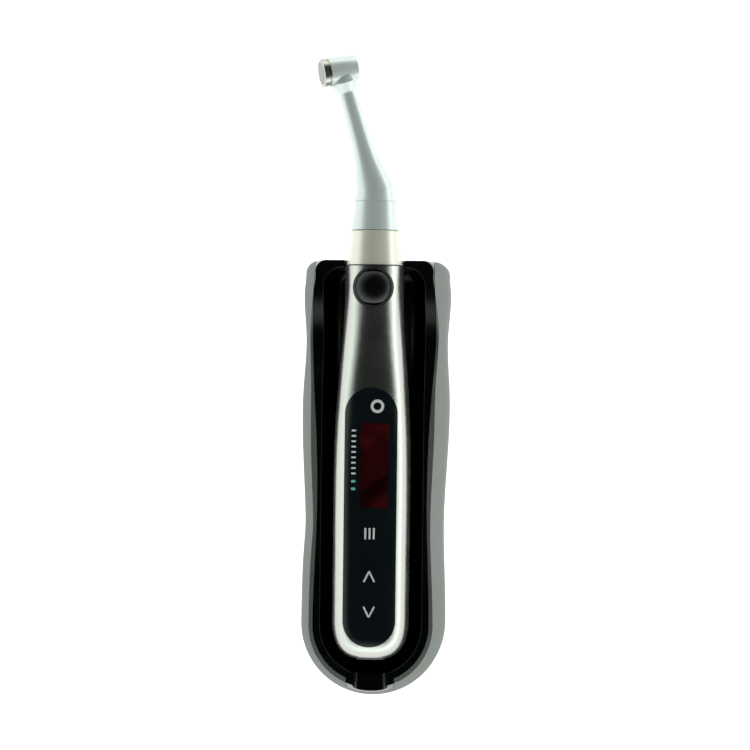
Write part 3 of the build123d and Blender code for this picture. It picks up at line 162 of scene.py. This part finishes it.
# %% Turned lines: rings that a lathe leaves round an axis
turned_lines, start, end = new_group(
    "turned lines",
    {"Line Width": 0.08, "Roughness": 0.2, "Spread": 0.1, "Tip": 0.0},
    {"Roughness": "NodeSocketFloat", "Height": "NodeSocketFloat"},
)
place = add_node(turned_lines, "ShaderNodeTexCoord").outputs["Object"]
angles = add_node(turned_lines, "ShaderNodeCombineXYZ", links={"X": start.outputs["Tip"]})
turned = add_node(
    turned_lines,
    "ShaderNodeVectorRotate",
    {"rotation_type": "EULER_XYZ"},
    links={"Vector": place, "Rotation": angles.outputs[0]},
)
squeezed = add_node(
    turned_lines,
    "ShaderNodeVectorMath",
    {"operation": "MULTIPLY"},
    links={0: turned.outputs[0]},
)
squeezed.inputs[1].default_value = (0.02, 1.0, 0.02)
per_metre = combine(turned_lines, "DIVIDE", 1 / MM, start.outputs["Line Width"])
lines = add_node(
    turned_lines,
    "ShaderNodeTexNoise",
    links={"Vector": squeezed.outputs[0], "Scale": per_metre},
    Detail=2.0,
)
centred = combine(turned_lines, "SUBTRACT", lines.outputs["Fac"], 0.5)
swing = combine(turned_lines, "MULTIPLY", centred, start.outputs["Spread"])
rough = combine(turned_lines, "ADD", swing, start.outputs["Roughness"])
turned_lines.links.new(rough, end.inputs["Roughness"])
turned_lines.links.new(lines.outputs["Fac"], end.inputs["Height"])

# %% Handling marks: soft smudges on gloss
handling_marks, start, end = new_group(
    "handling marks",
    {"Patch Size": 9.0, "Roughness": 0.06, "Smudge": 0.1},
    {"Roughness": "NodeSocketFloat", "Mask": "NodeSocketFloat"},
)
place = add_node(handling_marks, "ShaderNodeTexCoord").outputs["Object"]
per_metre = combine(handling_marks, "DIVIDE", 1 / MM, start.outputs["Patch Size"])
patches = add_node(
    handling_marks,
    "ShaderNodeTexNoise",
    links={"Vector": place, "Scale": per_metre},
    Detail=5.0,
    Roughness=0.65,
    Distortion=0.4,
)
edge = add_node(
    handling_marks,
    "ShaderNodeMapRange",
    {"interpolation_type": "SMOOTHSTEP"},
    links={"Value": patches.outputs["Fac"]},
)
edge.inputs["From Min"].default_value = 0.45
edge.inputs["From Max"].default_value = 0.75
smudged = combine(handling_marks, "MULTIPLY", edge.outputs["Result"], start.outputs["Smudge"])
rough = combine(handling_marks, "ADD", smudged, start.outputs["Roughness"])
handling_marks.links.new(rough, end.inputs["Roughness"])
handling_marks.links.new(edge.outputs["Result"], end.inputs["Mask"])
print("shader groups:", [group.name for group in bpy.data.node_groups])

# %% [markdown]
# ## Finishes
#
# Each finish is one material: a Principled BSDF with its plain values set straight on the shader, and
# a group or two for what changes over the surface. Rounded rims come from the solid model, so these
# materials only add grain that is finer than the geometry. A metal's reflection brightens towards its
# silhouette. *Edge* sets how much: it is the colour that a metal keeps at a grazing view.

# %% Helpers: a material, and the links that the groups need


def new_material(name, colour, metallic=0.0, roughness=0.5, edge=1.0):
    """Material with a Principled BSDF set to plain values. Returns the material, its tree and its shader."""
    material = bpy.data.materials.new(name)
    material.use_nodes = True
    tree = material.node_tree
    shader = tree.nodes["Principled BSDF"]
    shader.inputs["Base Color"].default_value = (*colour, 1.0)
    shader.inputs["Metallic"].default_value = metallic
    shader.inputs["Roughness"].default_value = roughness
    shader.inputs["Specular Tint"].default_value = (edge, edge, edge, 1.0)
    return material, tree, shader


def use_group(tree, group, **values):
    """Places a shader group in a material, its inputs given by name with underscores for spaces."""
    return add_node(tree, "ShaderNodeGroup", {"node_tree": group}, **values)


def drive_roughness(tree, shader, source):
    """Feeds a group's Roughness to the shader."""
    tree.links.new(source.outputs["Roughness"], shader.inputs["Roughness"])


def drive_bump(tree, shader, source, depth):
    """Feeds a group's Height to the shader's normal, as a relief of a given depth in millimetres."""
    bump = add_node(tree, "ShaderNodeBump", links={"Height": source.outputs["Height"]}, Strength=1.0)
    bump.inputs["Distance"].default_value = depth * MM
    tree.links.new(bump.outputs[0], shader.inputs["Normal"])


def two_tone(tree, shader, mask, first, second):
    """Mixes two colours by a mask into the base colour."""
    mix = add_node(tree, "ShaderNodeMix", {"data_type": "RGBA"})
    tree.links.new(mask, mix.inputs["Factor"])
    mix.inputs["A"].default_value = (*first, 1.0)
    mix.inputs["B"].default_value = (*second, 1.0)
    tree.links.new(mix.outputs["Result"], shader.inputs["Base Color"])


# %% Lacquered and moulded finishes


def metallic_lacquer(name, base, flake, roughness, metallic, edge):
    """Satin metallic lacquer: flake in the colour and grain in the roughness."""
    material, tree, shader = new_material(name, base, metallic, roughness, edge=edge)
    shader.inputs["Specular IOR Level"].default_value = 0.1
    flakes = use_group(tree, metal_flake, Flake_Size=0.12, Amount=0.55)
    two_tone(tree, shader, flakes.outputs["Mask"], base, flake)
    grain = use_group(tree, fine_texture, Grain_Size=0.2, Roughness=roughness, Spread=0.12)
    drive_roughness(tree, shader, grain)
    drive_bump(tree, shader, grain, 0.002)
    return material


def gloss_moulding(name, colour, tint, roughness, smudge):
    """Polished plastic: deep colour, sharp reflections and faint handling marks."""
    material, tree, shader = new_material(name, colour, roughness=roughness)
    marks = use_group(tree, handling_marks, Patch_Size=14.0, Roughness=roughness, Smudge=smudge)
    drive_roughness(tree, shader, marks)
    two_tone(tree, shader, marks.outputs["Mask"], colour, tint)
    return material


def satin_moulding(name, colour, tint, grain_size=0.15, roughness=0.5, depth=0.004):
    """Plain moulded plastic or rubber with a fine blasted grain."""
    material, tree, shader = new_material(name, colour, roughness=roughness)
    grain = use_group(tree, fine_texture, Grain_Size=grain_size, Roughness=roughness, Spread=0.18)
    drive_roughness(tree, shader, grain)
    drive_bump(tree, shader, grain, depth)
    two_tone(tree, shader, grain.outputs["Height"], colour, tint)
    return material


base_lacquer = metallic_lacquer("base lacquer", (0.23, 0.245, 0.23), (0.275, 0.29, 0.275), 0.6, 0.5, 0.3)
handle_lacquer = metallic_lacquer("handle lacquer", (0.48, 0.50, 0.465), (0.58, 0.60, 0.56), 0.26, 0.97, 0.8)
tray_gloss = gloss_moulding("tray gloss", (0.0015, 0.003, 0.003), (0.003, 0.005, 0.005), 0.2, 0.12)
panel_gloss = gloss_moulding("panel gloss", (0.006, 0.010, 0.012), (0.008, 0.013, 0.016), 0.10, 0.06)
button_gloss = gloss_moulding("button gloss", (0.002, 0.003, 0.003), (0.004, 0.005, 0.005), 0.25, 0.12)
grip_rubber = satin_moulding("grip rubber", (0.018, 0.018, 0.018), (0.035, 0.035, 0.034), 0.3, 0.75, 0.02)
dark_moulding = satin_moulding("dark moulding", (0.02, 0.02, 0.021), (0.035, 0.035, 0.036))
white_moulding = satin_moulding("white moulding", (0.62, 0.61, 0.58), (0.7, 0.69, 0.66))
tail_moulding = satin_moulding("tail moulding", (0.05, 0.05, 0.05), (0.08, 0.08, 0.078), roughness=0.35)
board_lacquer = satin_moulding("board lacquer", (0.015, 0.11, 0.04), (0.02, 0.16, 0.06), 0.6, 0.3, 0.01)
cell_sleeve = satin_moulding("cell sleeve", (0.03, 0.12, 0.32), (0.04, 0.15, 0.38), 0.5, 0.3, 0.002)
lead_jacket = satin_moulding("lead jacket", (0.45, 0.18, 0.03), (0.55, 0.24, 0.05), 0.4, 0.5, 0.004)

# %% Display glass


def display_glass():
    """Dark red filter over the display: sharp gloss over red that deepens in broad shades."""
    material, tree, shader = new_material("display glass", (0.02, 0.001, 0.002), roughness=0.06)
    place = add_node(tree, "ShaderNodeTexCoord").outputs["Object"]
    shade = add_node(
        tree, "ShaderNodeTexNoise", links={"Vector": place}, Scale=70.0, Detail=1.0, Distortion=1.2
    )
    ramp = add_node(
        tree,
        "ShaderNodeMapRange",
        {"interpolation_type": "SMOOTHSTEP"},
        links={"Value": shade.outputs["Fac"]},
    )
    ramp.inputs["From Min"].default_value = 0.35
    ramp.inputs["From Max"].default_value = 0.7
    two_tone(tree, shader, ramp.outputs["Result"], (0.012, 0.0008, 0.0015), (0.07, 0.005, 0.007))
    return material


display_red = display_glass()

# %% Metals


def turned_metal(name, colour, roughness, line_width, depth, spread=0.1, metallic=1.0):
    """Turned steel or brass, its lines cut round the handpiece's axis."""
    material, tree, shader = new_material(name, colour, metallic, roughness)
    lines = use_group(
        tree,
        turned_lines,
        Line_Width=line_width,
        Roughness=roughness,
        Spread=spread,
        Tip=-along.angle((0, 1, 0)),
    )
    drive_roughness(tree, shader, lines)
    drive_bump(tree, shader, lines, depth)
    return material


def blasted_metal(name, colour, tint, roughness, grain_size=0.1, depth=0.002, metallic=1.0):
    """Metal with an even, fine satin. Less metallic mixes in plain scattered colour, and with a near-white
    colour that is painted sheen standing in for bright reflections.
    """
    material, tree, shader = new_material(name, colour, metallic, roughness)
    grain = use_group(tree, fine_texture, Grain_Size=grain_size, Roughness=roughness, Spread=0.14)
    drive_roughness(tree, shader, grain)
    drive_bump(tree, shader, grain, depth)
    two_tone(tree, shader, grain.outputs["Height"], colour, tint)
    return material


# The collar's near-white colour at low metallic is painted sheen: it stands in for the bright reflections of
# polished steel.
collar_painted_sheen = turned_metal("collar painted sheen", (0.95, 0.94, 0.81), 0.12, 0.25, 0.0006, 0.05, metallic=0.2)
# The contra's near-white colour at low metallic is painted sheen: it stands in for the bright reflections of
# satin steel.
contra_painted_sheen = blasted_metal("contra painted sheen", (0.80, 0.87, 0.87), (0.88, 0.95, 0.95), 0.22, metallic=0.2)
cap_satin = blasted_metal("cap satin", (0.28, 0.30, 0.29), (0.34, 0.36, 0.35), 0.42, metallic=0.8)
ring_polish = blasted_metal("ring polish", (0.42, 0.42, 0.40), (0.48, 0.48, 0.46), 0.12, 0.3, 0.0003, 0.85)
ring_brass = blasted_metal("ring brass", (0.30, 0.29, 0.20), (0.38, 0.36, 0.26), 0.28)
ground_steel = turned_metal("ground steel", (0.55, 0.55, 0.56), 0.22, 0.12, 0.001)
bearing_steel = blasted_metal("bearing steel", (0.6, 0.6, 0.62), (0.7, 0.7, 0.72), 0.15)
screw_steel = blasted_metal("screw steel", (0.45, 0.45, 0.47), (0.55, 0.55, 0.57), 0.3)
motor_steel = blasted_metal("motor steel", (0.5, 0.5, 0.51), (0.58, 0.58, 0.59), 0.28)
contact_gold = blasted_metal("contact gold", (0.75, 0.52, 0.2), (0.85, 0.62, 0.28), 0.18)
print("materials:", len(bpy.data.materials))

# %% [markdown]
# ## Dressing the CAD nodes
#
# The record gives each node a slot, such as contra_silver. One table turns slots into finishes, so a
# node that is added to the model later is dressed as soon as its slot is in the table.

# %% Slot to finish
finish_for_slot = {
    "base_grey": base_lacquer,
    "tray_black": tray_gloss,
    "soft_rubber": grip_rubber,
    "inner_black": dark_moulding,
    "inner_white": white_moulding,
    "screw_steel": screw_steel,
    "board_green": board_lacquer,
    "socket_steel": motor_steel,
    "lead_orange": lead_jacket,
    "contact_gold": contact_gold,
    "handle_champagne": handle_lacquer,
    "tail_grey": tail_moulding,
    "panel_black": panel_gloss,
    "window_red": display_red,
    "display_dark": dark_moulding,
    "cell_wrap": cell_sleeve,
    "tab_nickel": motor_steel,
    "motor_steel": motor_steel,
    "collar_steel": collar_painted_sheen,
    "satin_steel": ground_steel,
    "button_black": button_gloss,
    "shaft_steel": ground_steel,
    "bearing_steel": bearing_steel,
    "contra_silver": contra_painted_sheen,
    "ring_brass": ring_brass,
    "cap_ring_steel": ring_polish,
    "spring_steel": screw_steel,
    "cap_grey": cap_satin,
}
slot_of_node = {entry["node"]: entry["material_slot"] for entry in frame["record"]["subparts"]}
for name, node in nodes.items():
    for slot in node.material_slots:
        slot.material = finish_for_slot[slot_of_node[name]]
print("dressed", len(nodes), "nodes in", len(set(slot_of_node.values())), "finishes")

# %% [markdown]
# ## Printed marks on the control panel
#
# The panel carries two arrows, a menu key, a row of ticks beside the display and a ring. They are
# printed, so each mark is a film of ink a fiftieth of a millimetre thick. The panel is slightly
# crowned, so every stroke is cut into short steps, and each corner is dropped on to the surface along
# the deck's normal before the film is built up. The film's edge is sunk a little into the panel, so
# that no gap shows under it. All sizes here are deck millimetres.

# %% Helpers: dropping strokes on to the panel
INK = 0.02
SUNK = 0.01
STEP = 0.5


def surface_under(*names):
    """Search tree over the faces of some CAD nodes."""
    corners = []
    faces = []
    for name in names:
        mesh = nodes[name].data
        start_index = len(corners)
        corners += [vertex.co.copy() for vertex in mesh.vertices]
        faces += [[start_index + index for index in face.vertices] for face in mesh.polygons]
    return BVHTree.FromPolygons(corners, faces)


panel_surface = surface_under("panel_lens")


def dropped(x, y, height):
    """Point over the panel at deck coordinates in millimetres, raised from the surface by a height."""
    hit, _, _, _ = panel_surface.ray_cast(on_deck(x, y, 40), -upward)
    return hit + upward * height * MM


def add_stroke(shape, start_place, end_place, width):
    """Straight stroke of ink between two places, as a closed film laid on the panel."""
    first = Vector(start_place)
    run = Vector(end_place) - first
    steps = max(1, round(run.length / STEP))
    half = Vector((-run.y, run.x)).normalized() * width / 2
    rows = []
    for step in range(steps + 1):
        centre = first + run * step / steps
        left, right = centre + half, centre - half
        rows.append(
            [
                shape.verts.new(dropped(left.x, left.y, INK)),
                shape.verts.new(dropped(right.x, right.y, INK)),
                shape.verts.new(dropped(right.x, right.y, -SUNK)),
                shape.verts.new(dropped(left.x, left.y, -SUNK)),
            ]
        )
    for row, following in zip(rows, rows[1:]):
        for side in range(4):
            turned = (side + 1) % 4
            shape.faces.new((row[side], row[turned], following[turned], following[side]))
    shape.faces.new(rows[0])
    shape.faces.new(rows[-1])


def add_ring(shape, centre, radius, width, parts=28):
    """Round ring of ink, as a closed film laid on the panel."""
    rows = []
    for part in range(parts):
        ray = Vector((cos(2 * pi * part / parts), sin(2 * pi * part / parts)))
        outer = Vector(centre) + ray * (radius + width / 2)
        inner = Vector(centre) + ray * (radius - width / 2)
        rows.append(
            [
                shape.verts.new(dropped(outer.x, outer.y, INK)),
                shape.verts.new(dropped(inner.x, inner.y, INK)),
                shape.verts.new(dropped(inner.x, inner.y, -SUNK)),
                shape.verts.new(dropped(outer.x, outer.y, -SUNK)),
            ]
        )
    for row, following in zip(rows, rows[1:] + rows[:1]):
        for side in range(4):
            turned = (side + 1) % 4
            shape.faces.new((row[side], row[turned], following[turned], following[side]))


def new_piece(name, shape, material, body):
    """Turns a bmesh into a piece of the object that rides on a body."""
    bmesh.ops.recalc_face_normals(shape, faces=shape.faces)
    mesh = bpy.data.meshes.new(name)
    shape.to_mesh(mesh)
    shape.free()
    mesh.materials.append(material)
    piece = bpy.data.objects.new(name, mesh)
    bpy.context.scene.collection.objects.link(piece)
    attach(piece, body)
    return piece


# %% Two inks
white_ink = satin_moulding("white ink", (0.93, 0.95, 0.95), (0.97, 0.98, 0.98), 0.08, 0.45, 0.0005)
teal_ink = satin_moulding("teal ink", (0.20, 0.62, 0.62), (0.26, 0.68, 0.68), 0.08, 0.45, 0.0005)

# %% The keys: an arrow towards the head, an arrow towards the tail, and a menu key
stroke = 0.55
arrow_half_width = 1.7
bar_width = 0.6
bar_pitch = 1.35
bar_foot, bar_top = 38.1, 41.7
for name, tip_y, foot_y in (("mark_arrow_up", 27.9, 24.5), ("mark_arrow_down", 13.3, 16.7)):
    shape = bmesh.new()
    add_stroke(shape, (-arrow_half_width, foot_y), (0, tip_y), stroke)
    add_stroke(shape, (arrow_half_width, foot_y), (0, tip_y), stroke)
    new_piece(name, shape, white_ink, "handpiece")

shape = bmesh.new()
for bar_x in (-bar_pitch, 0.0, bar_pitch):
    add_stroke(shape, (bar_x, bar_foot), (bar_x, bar_top), bar_width)
new_piece("mark_menu_key", shape, white_ink, "handpiece")

# %% The scale beside the display, its last two ticks in teal, and the ring above it
tick_left, tick_right = -6.1, -4.7
white_start, white_pitch, white_ticks = 72.5, 1.7, 9
teal_start, teal_pitch, teal_ticks, teal_width = 56.4, 2.4, 2, 0.8
shape = bmesh.new()
for tick in range(white_ticks):
    tick_y = white_start - white_pitch * tick
    add_stroke(shape, (tick_left, tick_y), (tick_right, tick_y), stroke)
new_piece("mark_scale_white", shape, white_ink, "handpiece")

shape = bmesh.new()
for tick in range(teal_ticks):
    tick_y = teal_start - teal_pitch * tick
    add_stroke(shape, (tick_left, tick_y), (tick_right, tick_y), teal_width)
new_piece("mark_scale_teal", shape, teal_ink, "handpiece")

shape = bmesh.new()
add_ring(shape, (2.0, 80.3), 1.7, 0.9)
new_piece("mark_ring", shape, white_ink, "handpiece")

# %% [markdown]
# ## Floor, light and camera
#
# Glossy black and satin metal show the lights more than their own colour, so the light is the look.
# The object lies on a glowing white sheet. A bright band stands all round, from the table up to some
# thirty degrees, and the ceiling is nearly black. The handle's crown and the panel mirror the
# ceiling, so they stay dark, and the band runs down each side of the handle as a highlight. The band
# is measured along a direction a little off upright, which makes it reach higher on the left. The
# right side is a little brighter than the left.

# %% The floor


def flat_sheet(name, size, height):
    """Square plate, centred on the origin."""
    mesh = bpy.data.meshes.new(name)
    shape = bmesh.new()
    bmesh.ops.create_grid(shape, x_segments=1, y_segments=1, size=size / 2)
    bmesh.ops.translate(shape, verts=shape.verts, vec=(0, 0, height))
    shape.to_mesh(mesh)
    shape.free()
    sheet = bpy.data.objects.new(name, mesh)
    bpy.context.scene.collection.objects.link(sheet)
    return sheet


floor = flat_sheet("floor", 6.0, 0.0)
floor_paint, tree, shader = new_material("floor paint", (0.02, 0.02, 0.02), roughness=1.0)
shader.inputs["Emission Color"].default_value = (1, 1, 1, 1)
shader.inputs["Emission Strength"].default_value = 1.4
floor.data.materials.append(floor_paint)

# %% The surroundings: dark above, bright low down
world = bpy.data.worlds.new("studio")
world.use_nodes = True
tree = world.node_tree
backdrop = tree.nodes["Background"]
direction = add_node(tree, "ShaderNodeTexCoord").outputs["Generated"]
parts = add_node(tree, "ShaderNodeSeparateXYZ", links={"Vector": direction})
height = add_node(tree, "ShaderNodeVectorMath", {"operation": "DOT_PRODUCT"}, links={0: direction})
height.inputs[1].default_value = (0.1, 0.0, 0.995)
band = add_node(
    tree, "ShaderNodeMapRange", {"interpolation_type": "SMOOTHSTEP"}, links={"Value": height.outputs["Value"]}
)
band.inputs["From Min"].default_value = 0.09
band.inputs["From Max"].default_value = 0.72
band.inputs["To Min"].default_value = 2.3
band.inputs["To Max"].default_value = 0.01
sides = add_node(tree, "ShaderNodeMapRange", links={"Value": parts.outputs["X"]})
sides.inputs["From Min"].default_value = -1.0
sides.inputs["From Max"].default_value = 1.0
sides.inputs["To Min"].default_value = 0.72
sides.inputs["To Max"].default_value = 1.28
strength = combine(tree, "MULTIPLY", band.outputs["Result"], sides.outputs["Result"])
tree.links.new(strength, backdrop.inputs["Strength"])
backdrop.inputs["Color"].default_value = (0.93, 1.0, 0.95, 1.0)
bpy.context.scene.world = world
bpy.context.scene.view_settings.view_transform = "Standard"

# %% The camera
view_width = 0.240
view_distance = 1.3
lean_right = radians(3.0)
roll = radians(0.7)
look_at = on_deck(0.5, 90.2, 0)
camera_data = bpy.data.cameras.new("camera")
camera_data.sensor_width = 36.0
camera_data.lens = 36.0 * view_distance / view_width
camera = bpy.data.objects.new("camera", camera_data)
backwards = (upward * cos(lean_right) + across * sin(lean_right)).normalized()
picture_up = (along * cos(roll) - across * sin(roll)).normalized()
picture_right = picture_up.cross(backwards).normalized()
picture_up = backwards.cross(picture_right)
camera.matrix_world = Matrix.Translation(look_at + backwards * view_distance) @ Matrix(
    (picture_right, picture_up, backwards)
).transposed().to_4x4()
bpy.context.scene.collection.objects.link(camera)
bpy.context.scene.camera = camera
print("lens", round(camera_data.lens, 1), "mm")
